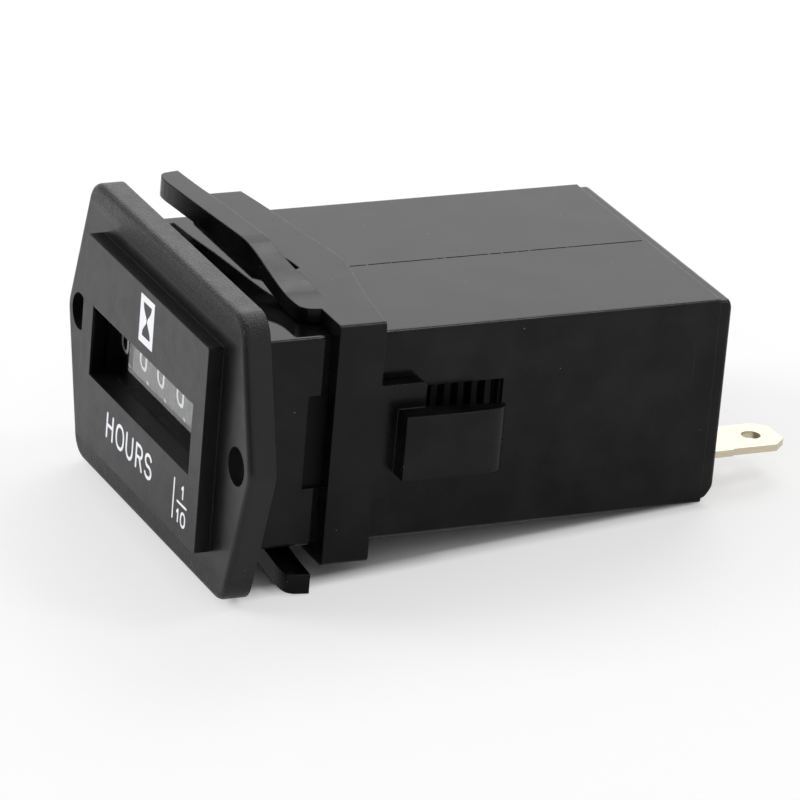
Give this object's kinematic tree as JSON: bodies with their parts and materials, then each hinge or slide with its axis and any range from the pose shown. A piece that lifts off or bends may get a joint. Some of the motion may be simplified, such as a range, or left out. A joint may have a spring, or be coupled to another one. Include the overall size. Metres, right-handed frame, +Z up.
{
  "type": "hour meter",
  "caption": "Black panel hour meter with drum counter wheels behind a window, a flange with screw holes, a ratchet mounting clip and blade terminals.",
  "frame": {"origin": "middle of the flange's rear face, on the line between the two panel screw holes, where the panel seats", "axes": "+X to the right seen from the front, +Y rearward through the panel along the case, +Z up"},
  "size_m": [0.0516, 0.0712, 0.0327],
  "materials": {
    "bezel": "fine moulded grain",
    "lens": "clear polished plastic",
    "case": "satin moulded",
    "clip": "satin moulded",
    "tinned_brass": "bright tin plate",
    "steel": "plated sheet and bar",
    "wheel": "black with white figures",
    "nylon": "natural moulded",
    "magnet": "bonded magnet",
    "brass": "turned",
    "copper": "enamelled wire",
    "board": "solder mask",
    "package": "moulded",
    "sleeve": "shrunk sleeve"
  },
  "bodies": {
    "body": {"bezel": "bezel", "lens": "lens", "case": "case", "rear_cover": "case", "terminal_right": "tinned_brass", "terminal_left": "tinned_brass", "counter_chassis": "steel", "wheel_shaft": "steel", "pinion_shaft": "steel", "idler_stud": "steel", "gear_bridge": "steel", "bridge_screw_1": "brass", "bridge_screw_2": "brass", "bridge_screw_3": "brass", "motor_can": "steel", "coil_bobbin": "nylon", "coil_winding": "copper", "coil_pin_1": "brass", "coil_pin_2": "brass", "circuit_board": "board", "driver_chip": "package", "quartz_crystal": "steel", "capacitor": "sleeve", "diode": "package", "resistor": "package"},
    "clip": {"mounting_clip": "clip"},
    "tenths_wheel": {"wheel_tenths": "wheel"},
    "units_wheel": {"wheel_units": "wheel"},
    "tens_wheel": {"wheel_tens": "wheel"},
    "hundreds_wheel": {"wheel_hundreds": "wheel"},
    "thousands_wheel": {"wheel_thousands": "wheel"},
    "ten_thousands_wheel": {"wheel_ten_thousands": "wheel"},
    "pinion_1": {"transfer_pinion_1": "nylon"},
    "pinion_2": {"transfer_pinion_2": "nylon"},
    "pinion_3": {"transfer_pinion_3": "nylon"},
    "pinion_4": {"transfer_pinion_4": "nylon"},
    "pinion_5": {"transfer_pinion_5": "nylon"},
    "idler": {"idler_gear": "nylon"},
    "reduction": {"reduction_gear": "nylon"},
    "rotor": {"motor_rotor": "magnet"}
  },
  "joints": [
    {"name": "clip_slide", "type": "slide", "parent": "body", "child": "clip", "axis": [0, 1, 0], "range_m": [-0.0039, 0.063]},
    {"name": "tenths_spin", "type": "hinge", "parent": "body", "child": "tenths_wheel", "pos_m": [0.01287, 0.0057, 0], "axis": [1, 0, 0], "continuous": true},
    {"name": "units_spin", "type": "hinge", "parent": "body", "child": "units_wheel", "pos_m": [0.00773, 0.0057, 0], "axis": [1, 0, 0], "continuous": true},
    {"name": "tens_spin", "type": "hinge", "parent": "body", "child": "tens_wheel", "pos_m": [0.00258, 0.0057, 0], "axis": [1, 0, 0], "continuous": true},
    {"name": "hundreds_spin", "type": "hinge", "parent": "body", "child": "hundreds_wheel", "pos_m": [-0.00258, 0.0057, 0], "axis": [1, 0, 0], "continuous": true},
    {"name": "thousands_spin", "type": "hinge", "parent": "body", "child": "thousands_wheel", "pos_m": [-0.00773, 0.0057, 0], "axis": [1, 0, 0], "continuous": true},
    {"name": "ten_thousands_spin", "type": "hinge", "parent": "body", "child": "ten_thousands_wheel", "pos_m": [-0.01287, 0.0057, 0], "axis": [1, 0, 0], "continuous": true},
    {"name": "pinion_1_spin", "type": "hinge", "parent": "body", "child": "pinion_1", "pos_m": [0.0103, 0.01181, -0.00352], "axis": [1, 0, 0], "continuous": true},
    {"name": "pinion_2_spin", "type": "hinge", "parent": "body", "child": "pinion_2", "pos_m": [0.00515, 0.01181, -0.00352], "axis": [1, 0, 0], "continuous": true},
    {"name": "pinion_3_spin", "type": "hinge", "parent": "body", "child": "pinion_3", "pos_m": [0, 0.01181, -0.00352], "axis": [1, 0, 0], "continuous": true},
    {"name": "pinion_4_spin", "type": "hinge", "parent": "body", "child": "pinion_4", "pos_m": [-0.00515, 0.01181, -0.00352], "axis": [1, 0, 0], "continuous": true},
    {"name": "pinion_5_spin", "type": "hinge", "parent": "body", "child": "pinion_5", "pos_m": [-0.0103, 0.01181, -0.00352], "axis": [1, 0, 0], "continuous": true},
    {"name": "idler_spin", "type": "hinge", "parent": "body", "child": "idler", "pos_m": [0.01506, 0.01548, 0.00395], "axis": [1, 0, 0], "continuous": true},
    {"name": "reduction_spin", "type": "hinge", "parent": "body", "child": "reduction", "pos_m": [0.014, 0.02187, 0.00097], "axis": [1, 0, 0], "continuous": true},
    {"name": "rotor_spin", "type": "hinge", "parent": "body", "child": "rotor", "pos_m": [0.008, 0.03092, 0.00097], "axis": [1, 0, 0], "continuous": true}
  ],
  "couplings": [
    {"joint": "units_spin", "follows": "tenths_spin", "ratio": 0.1},
    {"joint": "tens_spin", "follows": "tenths_spin", "ratio": 0.01},
    {"joint": "hundreds_spin", "follows": "tenths_spin", "ratio": 0.001},
    {"joint": "thousands_spin", "follows": "tenths_spin", "ratio": 0.0001},
    {"joint": "ten_thousands_spin", "follows": "tenths_spin", "ratio": 0.00001},
    {"joint": "pinion_1_spin", "follows": "tenths_spin", "ratio": -0.25},
    {"joint": "pinion_2_spin", "follows": "tenths_spin", "ratio": -0.025},
    {"joint": "pinion_3_spin", "follows": "tenths_spin", "ratio": -0.0025},
    {"joint": "pinion_4_spin", "follows": "tenths_spin", "ratio": -0.00025},
    {"joint": "pinion_5_spin", "follows": "tenths_spin", "ratio": -0.000025},
    {"joint": "idler_spin", "follows": "tenths_spin", "ratio": -1.1},
    {"joint": "reduction_spin", "follows": "tenths_spin", "ratio": 2.75},
    {"joint": "rotor_spin", "follows": "tenths_spin", "ratio": -9.625}
  ]
}
